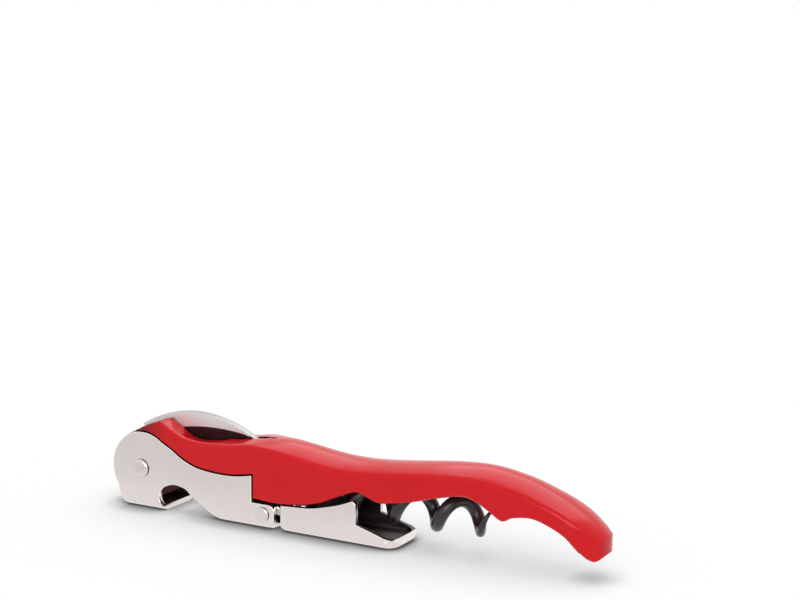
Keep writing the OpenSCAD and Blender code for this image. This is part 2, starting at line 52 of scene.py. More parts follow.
def drawn(place):
    """A place in the shared frame, back in the drawing's millimetres."""
    return place.x / MM + MID_X, place.y / MM, place.z / MM


# Finishes

EVEN = (1, 1, 1)


def start_finish(name, colour, metallic, roughness):
    """A new finish in one plain colour, and the nodes to work it with."""
    finish = bpy.data.materials.new(name)
    finish.use_nodes = True
    shader = finish.node_tree.nodes["Principled BSDF"]
    shader.inputs["Base Color"].default_value = (*colour, 1)
    shader.inputs["Metallic"].default_value = metallic
    shader.inputs["Roughness"].default_value = roughness
    finish.diffuse_color = (*colour, 1)
    return finish, finish.node_tree.nodes, finish.node_tree.links, shader


def grain(nodes, links, scale, stretch, detail, attribute=None):
    """Noise over the piece, scale in features to the metre, stretched along each direction."""
    if attribute:
        where = nodes.new("ShaderNodeAttribute")
        where.attribute_name = attribute
        place = where.outputs["Vector"]
    else:
        where = nodes.new("ShaderNodeTexCoord")
        place = where.outputs["Object"]
    turn = nodes.new("ShaderNodeMapping")
    turn.inputs["Scale"].default_value = stretch
    links.new(place, turn.inputs["Vector"])
    noise = nodes.new("ShaderNodeTexNoise")
    noise.inputs["Scale"].default_value = scale
    noise.inputs["Detail"].default_value = detail
    links.new(turn.outputs["Vector"], noise.inputs["Vector"])
    return noise.outputs["Fac"]


def place_along(nodes, links, axis):
    """How far along an axis of the shared frame a point of the piece is."""
    where = nodes.new("ShaderNodeTexCoord")
    parts = nodes.new("ShaderNodeSeparateXYZ")
    links.new(where.outputs["Object"], parts.inputs["Vector"])
    return parts.outputs[axis]


def rescale(nodes, links, value, old, new, soft=False):
    """A number carried from one span to another, easing in and out if soft."""
    span = nodes.new("ShaderNodeMapRange")
    if soft:
        span.interpolation_type = "SMOOTHSTEP"
    span.inputs["From Min"].default_value, span.inputs["From Max"].default_value = old
    span.inputs["To Min"].default_value, span.inputs["To Max"].default_value = new
    links.new(value, span.inputs["Value"])
    return span.outputs["Result"]


def mingle(nodes, links, fac, first, second):
    """A colour between two, the first of them plain or from another node."""
    mix = nodes.new("ShaderNodeMix")
    mix.data_type = "RGBA"
    if isinstance(first, tuple):
        mix.inputs["A"].default_value = (*first, 1)
    else:
        links.new(first, mix.inputs["A"])
    mix.inputs["B"].default_value = (*second, 1)
    links.new(fac, mix.inputs["Factor"])
    return mix.outputs["Result"]


def tint(nodes, links, fac, dark, light):
    """A colour that drifts between two shades with the noise."""
    ramp = nodes.new("ShaderNodeValToRGB")
    ramp.color_ramp.elements[0].position = 0.3
    ramp.color_ramp.elements[1].position = 0.7
    ramp.color_ramp.elements[0].color = (*dark, 1)
    ramp.color_ramp.elements[1].color = (*light, 1)
    links.new(fac, ramp.inputs["Fac"])
    return ramp.outputs["Color"]


def gloss(nodes, links, shader, fac, smoothest, roughest):
    """Roughness that drifts between two values with the noise."""
    rough = rescale(nodes, links, fac, (0.25, 0.75), (smoothest, roughest))
    links.new(rough, shader.inputs["Roughness"])


def relief(nodes, links, shader, fac, strength, depth):
    """Fine height of the finish, its depth in millimetres."""
    bump = nodes.new("ShaderNodeBump")
    bump.inputs["Strength"].default_value = strength
    bump.inputs["Distance"].default_value = depth * MM
    links.new(fac, bump.inputs["Height"])
    links.new(bump.outputs["Normal"], shader.inputs["Normal"])


def work_in(nodes, links, shader, fac, shades, roughness, height):
    """Lets one noise drift the colour and the gloss, and give the fine height."""
    links.new(tint(nodes, links, fac, *shades), shader.inputs["Base Color"])
    gloss(nodes, links, shader, fac, *roughness)
    relief(nodes, links, shader, fac, *height)


def shade_round_pivot(nodes, links, colour):
    """Lacquer painted darker round the main pivot as painted shade, fading out along the head."""
    head = [(x - MID_X) * MM for x in (-3.5, 9)]
    fade = rescale(nodes, links, place_along(nodes, links, "X"), head, (0.9, 0), soft=True)
    return mingle(nodes, links, fade, colour, (0.02, 0.004, 0.005))


def red_lacquer():
    """Sprayed lacquer over a casting: soft gloss and a little orange peel."""
    finish, nodes, links, shader = start_finish("red_lacquer", (0.72, 0.005, 0.008), 0, 0.22)
    shader.inputs["Specular IOR Level"].default_value = 0.3
    shader.inputs["Specular Tint"].default_value = (1, 0.88, 0.98, 1)
    drift = grain(nodes, links, 160, EVEN, 3)
    colour = tint(nodes, links, drift, (0.70, 0.004, 0.007), (0.74, 0.006, 0.009))
    # Painted shade: the lacquer is darkened round the main pivot.
    links.new(shade_round_pivot(nodes, links, colour), shader.inputs["Base Color"])
    peel = grain(nodes, links, 950, EVEN, 2)
    gloss(nodes, links, shader, peel, 0.18, 0.26)
    relief(nodes, links, shader, peel, 0.1, 0.03)
    return finish


def shade_dark_lacquer():
    """Dull, dark red painted inside the slots, the groove and under the head, as painted shade."""
    finish, nodes, links, shader = start_finish("shade_dark_lacquer", (0.1, 0.006, 0.007), 0, 0.55)
    shader.inputs["Specular IOR Level"].default_value = 0.2
    mottle = grain(nodes, links, 420, EVEN, 4)
    shades = (0.05, 0.005, 0.006), (0.16, 0.007, 0.008)
    work_in(nodes, links, shader, mottle, shades, (0.45, 0.65), (0.2, 0.04))
    return finish


def nickel_sheet():
    """Nickel plate over bent sheet, with the fine lengthwise draw of a rolled strip."""
    finish, nodes, links, shader = start_finish("nickel_sheet", (0.74, 0.68, 0.66), 1, 0.22)
    draw = grain(nodes, links, 900, (0.05, 1, 1), 4)
    cloud = grain(nodes, links, 120, EVEN, 2)
    colour = tint(nodes, links, cloud, (0.72, 0.66, 0.64), (0.76, 0.70, 0.68))
    links.new(colour, shader.inputs["Base Color"])
    gloss(nodes, links, shader, draw, 0.18, 0.28)
    relief(nodes, links, shader, draw, 0.05, 0.02)
    return finish


def highlight_edge():
    """Rounded edge of the sheet, painted brighter than the plate as a painted highlight."""
    finish, nodes, links, shader = start_finish("highlight_edge", (0.93, 0.9, 0.89), 1, 0.18)
    flecks = grain(nodes, links, 1100, EVEN, 3)
    shades = (0.88, 0.85, 0.84), (0.97, 0.95, 0.94)
    work_in(nodes, links, shader, flecks, shades, (0.14, 0.24), (0.04, 0.02))
    return finish


def shade_dark_steel():
    """Steel painted dark and dull as painted shade: inside the arms, on their top edges and round
    the rivet heads.
    """
    finish, nodes, links, shader = start_finish("shade_dark_steel", (0.1, 0.083, 0.083), 1, 0.48)
    blotch = grain(nodes, links, 500, (0.25, 1, 1), 4)
    shades = (0.065, 0.052, 0.053), (0.15, 0.128, 0.126)
    work_in(nodes, links, shader, blotch, shades, (0.4, 0.58), (0.15, 0.03))
    return finish


def rivet_steel():
    """Bright cold-headed steel, with the faint dimples of the rivet tool."""
    finish, nodes, links, shader = start_finish("rivet_steel", (0.70, 0.64, 0.635), 1, 0.2)
    dimple = grain(nodes, links, 1400, EVEN, 2)
    shades = (0.66, 0.60, 0.595), (0.74, 0.68, 0.675)
    work_in(nodes, links, shader, dimple, shades, (0.16, 0.26), (0.06, 0.03))
    return finish


def washer_plastic():
    """Milky nylon with a moulded skin."""
    finish, nodes, links, shader = start_finish("washer_plastic", (0.74, 0.73, 0.68), 0, 0.5)
    skin = grain(nodes, links, 2000, EVEN, 3)
    shades = (0.7, 0.69, 0.63), (0.78, 0.77, 0.72)
    work_in(nodes, links, shader, skin, shades, (0.42, 0.58), (0.15, 0.02))
    return finish


def dark_steel():
    """Oiled spring steel."""
    finish, nodes, links, shader = start_finish("dark_steel", (0.2, 0.19, 0.185), 1, 0.36)
    scale = grain(nodes, links, 1800, (1, 0.2, 1), 3)
    shades = (0.15, 0.14, 0.135), (0.25, 0.24, 0.235)
    work_in(nodes, links, shader, scale, shades, (0.3, 0.45), (0.1, 0.02))
    return finish


def black_coat():
    """Baked slip coat on the worm, drawn out along the wire."""
    finish, nodes, links, shader = start_finish("black_coat", (0.019, 0.013, 0.014), 0, 0.32)
    draw = grain(nodes, links, 1600, (0.12, 1, 1), 4, attribute="wire_lie")
    shades = (0.011, 0.008, 0.009), (0.030, 0.021, 0.022)
    work_in(nodes, links, shader, draw, shades, (0.24, 0.42), (0.2, 0.04))
    return finish


def blade_steel():
    """Stainless blade, ground along its length."""
    finish, nodes, links, shader = start_finish("blade_steel", (0.8, 0.81, 0.8), 0.4, 0.44)
    lines = grain(nodes, links, 2200, (0.04, 1, 1), 3)
    shades = (0.77, 0.78, 0.77), (0.83, 0.84, 0.83)
    work_in(nodes, links, shader, lines, shades, (0.38, 0.5), (0.06, 0.01))
    return finish


def satin_spine():
    """Satin back of the knife, brushed along its length."""
    finish, nodes, links, shader = start_finish("satin_spine", (0.38, 0.37, 0.36), 1, 0.42)
    lines = grain(nodes, links, 1800, (0.05, 1, 1), 3)
    shades = (0.34, 0.33, 0.32), (0.42, 0.41, 0.40)
    work_in(nodes, links, shader, lines, shades, (0.36, 0.5), (0.08, 0.01))
    return finish


def shade_dark_grind():
    """Hollow grind of the knife painted dark maroon, as painted shade and a painted reflection of
    the red handle, with the lines of the wheel across it.
    """
    finish, nodes, links, shader = start_finish("shade_dark_grind", (0.024, 0.011, 0.015), 0.2, 0.4)
    lines = grain(nodes, links, 1500, (1, 1, 0.06), 3)
    shades = (0.017, 0.008, 0.011), (0.031, 0.014, 0.019)
    work_in(nodes, links, shader, lines, shades, (0.34, 0.46), (0.08, 0.01))
    return finish


finishes = {
    "red_lacquer": red_lacquer(),
    "shade_dark_lacquer": shade_dark_lacquer(),
    "nickel_sheet": nickel_sheet(),
    "shade_dark_steel": shade_dark_steel(),
    "rivet_steel": rivet_steel(),
    "washer_plastic": washer_plastic(),
    "dark_steel": dark_steel(),
    "black_coat": black_coat(),
    "blade_steel": blade_steel(),
    "shade_dark_grind": shade_dark_grind(),
    "satin_spine": satin_spine(),
    "highlight_edge": highlight_edge(),
}

coats = {
    "handle_body": "red_lacquer",
    "knife_pin": "red_lacquer",
    "upper_lever_arm": "nickel_sheet",
    "lower_lever_arm": "nickel_sheet",
    "main_rivet": "rivet_steel",
    "hinge_rivet": "rivet_steel",
    "worm_pin": "rivet_steel",
    "pivot_washers": "washer_plastic",
    "hinge_sleeve": "dark_steel",
    "hinge_spring": "dark_steel",
    "worm": "black_coat",
    "knife_blade": "blade_steel",
}
for name, coat in coats.items():
    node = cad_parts[name]
    node.data.materials.clear()
    node.data.materials.append(finishes[coat])


# Bench


def clear_bench():
    """Leaves edit mode and lets go of every piece."""
    if bpy.context.object and bpy.context.object.mode != "OBJECT":
        bpy.ops.object.mode_set(mode="OBJECT")
    bpy.ops.object.select_all(action="DESELECT")


def take_up(piece):
    """Takes one piece to work on, with all others put down."""
    clear_bench()
    bpy.context.view_layer.objects.active = piece
    piece.select_set(True)


def edit(piece):
    """Opens a piece for work on its mesh, with nothing on it selected."""
    take_up(piece)
    bpy.ops.object.mode_set(mode="EDIT")
    bpy.ops.mesh.select_mode(type="VERT")
    bpy.ops.mesh.select_all(action="DESELECT")


def between(a, b, c, d, t):
    """A point of the smooth line from b to c, which a and d come before and after."""
    return tuple(
        (2 * q + (r - p) * t + (2 * p - 5 * q + 4 * r - s) * t**2 + (3 * q - p - 3 * r + s) * t**3)
        / 2
        for p, q, r, s in zip(a, b, c, d)
    )


def smooth_line(points, steps):
    """A smooth line through the points, with that many pieces between two of them."""
    last = len(points) - 1
    line = []
    for i in range(last):
        near_by = points[max(i - 1, 0)], points[i], points[i + 1], points[min(i + 2, last)]
        line += [between(*near_by, k / steps) for k in range(steps)]
    return line + [tuple(points[last])]


def arc(x, z, r, start, end, steps):
    """Points round a centre, between two angles in degrees."""
    angles = [radians(start + (end - start) * k / steps) for k in range(steps + 1)]
    return [(x + r * cos(a), z + r * sin(a)) for a in angles]


def all_round(sides):
    """Angles of that many corners round a full circle."""
    return [2 * pi * k / sides for k in range(sides)]


def lay_face(name, places):
    """A flat face with its corners moved onto the given places."""
    clear_bench()
    bpy.ops.mesh.primitive_circle_add(vertices=len(places), radius=0.01, fill_type="NGON")
    piece = bpy.context.object
    piece.name = piece.data.name = name
    for corner, place in zip(piece.data.vertices, places):
        corner.co = place
    bpy.ops.object.mode_set(mode="EDIT")
    bpy.ops.mesh.select_mode(type="VERT")
    bpy.ops.mesh.select_all(action="SELECT")
    return piece


def face_outwards():
    """Closes the mesh that is being edited and turns its faces outwards."""
    bpy.ops.mesh.select_all(action="SELECT")
    bpy.ops.mesh.remove_doubles(threshold=1e-7)
    bpy.ops.mesh.normals_make_consistent(inside=False)
    bpy.ops.object.mode_set(mode="OBJECT")


def pull(name, face, x=0, y=0, z=0):
    """A block pulled out of a flat face, by millimetres along each axis."""
    piece = lay_face(name, face)
    way = (x * MM, y * MM, z * MM)
    bpy.ops.mesh.extrude_region_move(TRANSFORM_OT_translate={"value": way})
    face_outwards()
    return piece


def saw_out(name, outline, near, far):
    """A block sawn to a side view, from near to far across the tool."""
    return pull(name, [spot(x, near, z) for x, z in outline], y=far - near)


def stand_up(name, plan, low, high):
    """A block sawn to a plan view, from low to high."""
    return pull(name, [spot(x, y, low) for x, y in plan], z=high - low)


def push_through(name, section, from_x, to_x):
    """A bar with one section, given across and up, along the tool."""
    return pull(name, [spot(from_x, y, z) for y, z in section], x=to_x - from_x)


def draw_out(name, rings):
    """A bar drawn out ring by ring: each extrusion is moved onto its own ring."""
    piece = lay_face(name, rings[0])
    for ring in rings[1:]:
        bpy.ops.mesh.extrude_region_move()
        mesh = bmesh.from_edit_mesh(piece.data)
        for corner, place in zip([v for v in mesh.verts if v.select], ring):
            corner.co = place
    face_outwards()
    return piece


def turn_up(name, at, profile, sides=48):
    """A round piece on an axis across the tool, from its profile of radius and side."""
    angles = all_round(sides)
    rings = [[spot(at[0] + r * cos(a), y, at[1] + r * sin(a)) for a in angles] for r, y in profile]
    return draw_out(name, rings)


def work(piece, tool, how):
    """Cuts, keeps or adds the tool's shape, and puts the tool away."""
    change = piece.modifiers.new(how.lower(), "BOOLEAN")
    change.operation = how
    change.solver = "EXACT"
    change.object = tool
    clear_bench()
    bpy.context.view_layer.objects.active = piece
    bpy.ops.object.modifier_apply(modifier=change.name)
    bpy.data.objects.remove(tool)


def trim(piece, outline):
    """Keeps what lies inside a side view."""
    work(piece, saw_out("outline", outline, -12, 12), "INTERSECT")


def round_edges(piece, chosen, radius, steps):
    """Rounds the edges whose two ends, in millimetres, pass the test."""
    edit(piece)
    bpy.ops.mesh.select_mode(type="EDGE")
    mesh = bmesh.from_edit_mesh(piece.data)
    for edge in mesh.edges:
        edge.select_set(chosen(*[drawn(v.co) for v in edge.verts]))
    bmesh.update_edit_mesh(piece.data)
    bpy.ops.mesh.bevel(offset=radius * MM, segments=steps, profile=0.5, affect="EDGES")
    face_outwards()


def join_flats(piece):
    """Joins the doubled corners and the flat neighbours that cutting leaves."""
    edit(piece)
    bpy.ops.mesh.select_all(action="SELECT")
    bpy.ops.mesh.remove_doubles(threshold=0.002 * MM)
    bpy.ops.mesh.dissolve_limited(angle_limit=radians(0.3))
    bpy.ops.object.mode_set(mode="OBJECT")


def break_edges(piece, width, angle=40):
    """Takes the sharpness off every edge, then smooths the faces between them."""
    join_flats(piece)
    edge = piece.modifiers.new("broken_edge", "BEVEL")
    edge.width = width * MM
    edge.segments = 2
    edge.limit_method = "ANGLE"
    edge.angle_limit = radians(angle)
    bpy.ops.object.modifier_apply(modifier=edge.name)
    smooth(piece)


def smooth(piece, angle=35):
    """Shades a piece smoothly, apart from the edges that are sharper than the angle."""
    take_up(piece)
    bpy.ops.object.shade_smooth_by_angle(angle=radians(angle))
    even = piece.modifiers.new("even_normals", "WEIGHTED_NORMAL")
    even.keep_sharp = True
    bpy.ops.object.modifier_apply(modifier=even.name)


def fit(piece, body, coat, *nodes):
    """Gives a piece its finish and puts it on its body in place of its plain solids."""
    piece.data.materials.clear()
    piece.data.materials.append(finishes[coat])
    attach(piece, body)
    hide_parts(*nodes)


def recoat(piece, coat, chosen):
    """Puts a further finish on the faces whose middle and normal pass the test."""
    piece.data.materials.append(finishes[coat])
    last = len(piece.data.materials) - 1
    for face in piece.data.polygons:
        if chosen(*drawn(face.center), face.normal):
            face.material_index = last


# Lever arms

# Half the width over the side plates, the sheet's thickness and the radius of its bends
HALF_W, SHEET, BEND = 6.0, 1.1, 2.0
INSIDE = HALF_W - SHEET + 0.02
EDGE_R = 0.2
PIVOT = (0, 9.15)
HINGE = (32.7, 3.2)
# Round head of the upper arm, and the angle at which its top line leaves the round
HEAD, HEAD_R, TOP_FROM = (0.5, 9.15), 8.4, 52
# Where the upper arm's first step is, and where the lower arm's tongue ends
STEP_X, TONGUE = 29.8, 65.75

ARM_TOP = smooth_line(
    [
        (HEAD[0] + HEAD_R * cos(radians(TOP_FROM)), HEAD[1] + HEAD_R * sin(radians(TOP_FROM))),
        (8.4, 14.4),
        (11.2, 12.7),
        (15, 11.25),
        (20, 10.65),
        (25, 10.7),
        (STEP_X, 11.5),
    ],
    6,
)
CAP_NOTCH = smooth_line(
    [
        (13.1, 5.1),
        (11.9, 5.95),
        (9.4, 6.4),
        (7.6, 6.1),
        (5.9, 5.2),
        (4.9, 3.7),
        (5.1, 2.2),
        (6, 0.9),
    ],
    5,
)


def outer_edge(x, y, z, n):
    """Rounded edge round the outer face of a side plate, and not the bend under it."""
    bend = z < BEND and n.z < -0.1 and abs(n.x) < 0.2
    return abs(y) > HALF_W - EDGE_R - 0.04 and 0.25 < abs(n.y) < 0.95 and not bend


def burnish(arm):
    """Rounds the outer edges of both side plates, above the bend."""

    def on_plate(a, b):
        same_side = a[1] * b[1] > 0 and min(abs(a[1]), abs(b[1])) > HALF_W - 0.01
        return same_side and max(a[2], b[2]) > BEND + 0.01

    join_flats(arm)
    round_edges(arm, on_plate, EDGE_R, 3)


def bent_sheet(name, from_x, to_x):
    """A strip bent to a channel, higher than the arm that is cut from it."""
    outer, inner, tall = HALF_W - BEND, BEND - SHEET, 24
    section = [(-HALF_W, tall)] + arc(-outer, BEND, BEND, 180, 270, 8)
    section += arc(outer, BEND, BEND, 270, 360, 8) + [(HALF_W, tall), (HALF_W - SHEET, tall)]
    section += arc(outer, BEND, inner, 360, 270, 6) + arc(-outer, BEND, inner, 270, 180, 6)
    section += [(SHEET - HALF_W, tall)]
    return push_through(name, section, from_x, to_x)


def crown_lever():
    """The upper arm: round head, cap notch and the first step, bent from one sheet."""
    arm = bent_sheet("crown_lever", -20, 60)
    outline = arc(*HEAD, HEAD_R, 213.2, TOP_FROM, 56) + ARM_TOP[1:] + [(STEP_X, 5.5)]
    outline += arc(34.15, 4, 1.5, 90, 0, 7) + arc(34.35, 1.3, 1.3, 0, -90, 7)
    outline += [(22, -0.5)] + CAP_NOTCH
    outline += [(6, -0.5), (-4.5, -0.5), (-4.6, 0), (-5.2, 0.9), (-6.2, 3)]
    trim(arm, outline)
    # Room for the lower arm's ears, through the bottom of the sheet
    ear_slot = [(33.6, -1), (40, -1), (40, HINGE[1])] + arc(*HINGE, 2.2, 0, 294.2, 30)
    for near in (-5.1, 3.4):
        work(arm, saw_out("ear_slot", ear_slot, near, near + 1.7), "DIFFERENCE")
    burnish(arm)
    break_edges(arm, 0.2)
    fit(arm, "lever", "nickel_sheet", "upper_lever_arm")
    # Painted highlight: the rounded outer edges of the plates are coated brighter.
    recoat(arm, "highlight_edge", outer_edge)

    # Painted shade: the channel's inner faces and the upward-facing cut edges of the plates are
    # coated dark.
    def in_shade(x, y, z, n):
        inwards = n.z > 0.5 or n.y * y < -0.3 * abs(y)
        top_edge = x > -1.5 and z > 7 and abs(n.y) < 0.3 and n.z > 0.3
        return abs(y) < INSIDE and z > SHEET - 0.02 and inwards or top_edge

    recoat(arm, "shade_dark_steel", in_shade)


def tray_block(name, grow, end_r, bend):
    """The lower arm's blank as a solid tray with a rounded, turned-up end."""
    start, end, tall = 34, TONGUE - grow, 20
    box = [(start, grow), (end, grow), (end, tall), (start, tall)]
    block = saw_out(name, box, grow - HALF_W, HALF_W - grow)

    def at_end(a, b):
        return min(a[0], b[0]) > end - 0.01 and abs(a[2] - b[2]) > 5

    def at_floor(a, b):
        return max(a[2], b[2]) < grow + 0.01 and max(a[0], b[0]) > start + 0.1

    round_edges(block, at_end, end_r, 8)
    round_edges(block, at_floor, bend, 6)
    return block


EAR_PLAN = [
    (29.8, 3.7),
    (29.8, 4.8),
    (36.05, 4.8),
    (37.8, 5.9),
    (41.3, 5.9),
    (41.3, 4.6),
    (38.5, 4.6),
    (36.85, 3.7),
]


def thumb_lever():
    """The lower arm: the second step and a thumb tongue with a turned-up lip."""
    arm = tray_block("thumb_lever", 0, 3.4, BEND)
    work(arm, tray_block("hollow", SHEET, 2.3, BEND - SHEET), "DIFFERENCE")
    outline = smooth_line(
        [(37.3, 5.85), (41.8, 6.1), (45.55, 6.5), (51.25, 7.95), (55.25, 9.5)], 6
    )
    outline += [(56.05, 8.9), (56.05, 4.5), (64.6, 2.05), (66.45, 0.35), (66.45, -1)]
    outline += [(38.2, -1), (38.2, 0), (37.3, 1.1)]
    trim(arm, outline)
    ear = arc(*HINGE, 1.9, -90, -270, 24) + [(41.3, 5.1), (41.3, 3.4), (34.59, 3.4)]
    ear += arc(*HINGE, 1.9, 6, -84, 12)
    for side in (-1, 1):
        blank = stand_up("ear", [(x, side * y) for x, y in EAR_PLAN], 0, 10)
        trim(blank, ear)
        work(arm, blank, "UNION")
    burnish(arm)
    break_edges(arm, 0.18)
    fit(arm, "thumb_arm", "nickel_sheet", "lower_lever_arm")
    # Painted highlight: the rounded outer edges of the plates are coated brighter.
    recoat(arm, "highlight_edge", outer_edge)

    # Painted shade: the tray's inner faces and the upward-facing cut edges of the plates are coated
    # dark.
    def in_shade(x, y, z, n):
        hollow = abs(y) < INSIDE and z > SHEET - 0.02 and x < TONGUE - SHEET + 0.02
        inwards = n.z > 0.5 or n.y * y < -0.3 * abs(y) or n.x < -0.3
        top_edge = x < 55.5 and z > 5 and abs(n.y) < 0.3 and n.z > 0.3
        return hollow and inwards or top_edge

    recoat(arm, "shade_dark_steel", in_shade)


# Rivet head from its flat to its rim, in shares of its radius and its height
RIVET_HEAD = [
    (0.28, 1.0),
    (0.5, 0.985),
    (0.68, 0.93),
    (0.83, 0.82),
    (0.93, 0.68),
    (0.98, 0.52),
    (1.0, 0.3),
    (1.0, 0.02),
]


def rivet(name, at, shank_r, head_r, head_h):
    """A headed rivet: low domes with a small flat, on a shank through both side plates."""
    seat = -HALF_W + 0.02
    near = [(head_r * r, -HALF_W - head_h * h) for r, h in RIVET_HEAD]
    near += [(head_r * 0.97, seat), (shank_r, seat)]
    piece = turn_up(name, at, near + [(r, -y) for r, y in reversed(near)])
    smooth(piece, 50)
    fit(piece, "lever", "rivet_steel", name.replace("_bright", ""))
    # Painted shade: a dark ring round each head where it meets the plate.
    rim = HALF_W + 0.31 * head_h
    recoat(piece, "shade_dark_steel", lambda x, y, z, n: abs(y) < rim and abs(n.y) < 0.5)


# Worm

# Height of its axis, and its pin, its wire and its point
WORM_Z, WORM_PIN_X, WIRE_R, TIP_X = 8.55, 18.6, 1.4, 86.4
# The lead moves out from the axis, from the shank to the first turn
LEAD, LEAD_OFF = (29.2, 34.8), (1.05, 2.95)
PITCH = 46.3 / 4.5


def tube_rings(path, ups, radii, sides):
    """Rings of a wire along a path, each with its first corner upwards."""
    rings = []
    last = len(path) - 1
    for i, centre in enumerate(path):
        along = (path[min(i + 1, last)] - path[max(i - 1, 0)]).normalized()
        up = (ups[i] - ups[i].dot(along) * along).normalized()
        out = along.cross(up)
        r = radii[i] * MM
        rings.append([centre + r * (cos(a) * up + sin(a) * out) for a in all_round(sides)])
    return rings


def worm_turn(x):
    """How far the worm has turned: slow out of the lead, and quicker at the point."""
    on = x - LEAD[1]
    wound = 0 if on < 0 else on * on / 6 if on < 3 else on - 1.5
    end = max(0, 1 - (TIP_X - x) / 6)
    return radians(360 / PITCH * wound + 40 * end * end)


def lie_of_wire(worm, path, ups):
    """Notes how far along the wire and where round it each point is, for the drawn grain."""
    nearest = kdtree.KDTree(len(path))
    for k, place in enumerate(path):
        nearest.insert(place, k)
    nearest.balance()
    run = [0.0]
    for a, b in zip(path, path[1:]):
        run.append(run[-1] + (b - a).length)
    last, round_r = len(path) - 1, 1.5 * MM
    lie = worm.data.attributes.new("wire_lie", "FLOAT_VECTOR", "POINT")
    for v in worm.data.vertices:
        _, k, _ = nearest.find(v.co)
        along = (path[min(k + 1, last)] - path[max(k - 1, 0)]).normalized()
        off = v.co - path[k]
        out = (off - off.dot(along) * along).normalized()
        across = along.cross(ups[k]).normalized()
        lie.data[v.index].vector = (
            run[k] + off.dot(along),
            out.dot(ups[k]) * round_r,
            out.dot(across) * round_r,
        )


def coated_worm():
    """Left-hand worm on its shank: straight lead, open turns and a ground point."""
    steps = 330
    path, ups, radii = [], [], []
    for k in range(steps + 1):
        x = LEAD[0] + (TIP_X - LEAD[0]) * k / steps
        t = min(max((x - LEAD[0]) / (LEAD[1] - LEAD[0]), 0), 1)
        off = LEAD_OFF[0] + (LEAD_OFF[1] - LEAD_OFF[0]) * t * t * (3 - 2 * t)
        up = Vector((0, sin(worm_turn(x)), cos(worm_turn(x))))
        path.append(spot(x, 0, WORM_Z) + off * MM * up)
        ups.append(up)
        radii.append(WIRE_R * min(1, 0.12 + 0.88 * (TIP_X - x) / 5.4))
    worm = draw_out("coated_worm", tube_rings(path, ups, radii, 20))
    bead = [(16.15, 0.6), (16.25, 1.3), (16.6, 1.85), (17.2, 2.25), (17.9, 2.42), (18.6, 2.45)]
    bead += [(30.2, 2.45), (30.7, 2.35), (31.1, 2.1), (31.5, 1.7)]
    rings = [
        [spot(x, r * cos(a), WORM_Z + r * sin(a)) for a in all_round(36)] for x, r in bead
    ]
    shank = draw_out("shank", rings)
    heel_cut = [(31.6, 7.5), (27.2, 3.1), (36, 3.1)]
    work(shank, saw_out("heel_cut", heel_cut, -8, 8), "DIFFERENCE")
    work(worm, shank, "UNION")
    smooth(worm, 40)
    lie_of_wire(worm, path, ups)
    fit(worm, "screw", "black_coat", "worm")


# Knife

KNIFE_PIN = (25.4, 16.2)
# Half the blade's thickness, and the rounding of its back
BLADE_T, BACK_R = 0.8, 0.14


def grind_line(x):
    """Height at which the hollow grind starts."""
    return -30.5 + sqrt(50**2 - (x - 17.2) ** 2)


def knife_edge(x, r=42):
    """Height of the cutting edge, or of a line that far below its centre."""
    return 56.2 - sqrt(r**2 - (x - 14) ** 2)


def foil_knife():
    """Crescent blade: a flat band along its back and a hollow grind down to the edge."""
    rings = []
    for k in range(81):
        x = -3.2 + 32.05 * (0.5 - 0.5 * cos(pi * k / 80))
        back = -7.1 + sqrt(29.5**2 - (x - 12.2) ** 2)
        edge = knife_edge(x)
        ground = min(max(grind_line(x), edge + 0.02), back - 0.16 * (back - edge))
        soft = min(BACK_R, (back - ground) / 4)
        side = [(0.1 + 0.7 * (t / 8) ** 2, edge + (ground - edge) * t / 8) for t in range(9)]
        side += [(BLADE_T, back - soft), (BLADE_T - 0.3 * soft, back - 0.3 * soft)]
        side += [(BLADE_T - soft, back)]
        rings.append([spot(x, -y, z) for y, z in side] + [spot(x, y, z) for y, z in reversed(side)])
    blade = draw_out("foil_knife", rings)
    boss = [(1.6, -BLADE_T), (1.75, -0.65), (1.75, 0.65), (1.6, BLADE_T)]
    work(blade, turn_up("boss", KNIFE_PIN, boss, 40), "UNION")
    smooth(blade, 22)
    fit(blade, "knife", "blade_steel", "knife_blade")

    def hollow(x, y, z, n):
        off_boss = (x - KNIFE_PIN[0]) ** 2 + (z - KNIFE_PIN[1]) ** 2 > 1.7**2
        return z < grind_line(x) and off_boss

    # Painted shade and painted reflection: the hollow grind, clear of the boss, gets the dark
    # maroon finish.
    recoat(blade, "shade_dark_grind", hollow)
    recoat(blade, "satin_spine", lambda x, y, z, n: n.z > 0.5 and abs(n.y) < 0.6)


# Handle

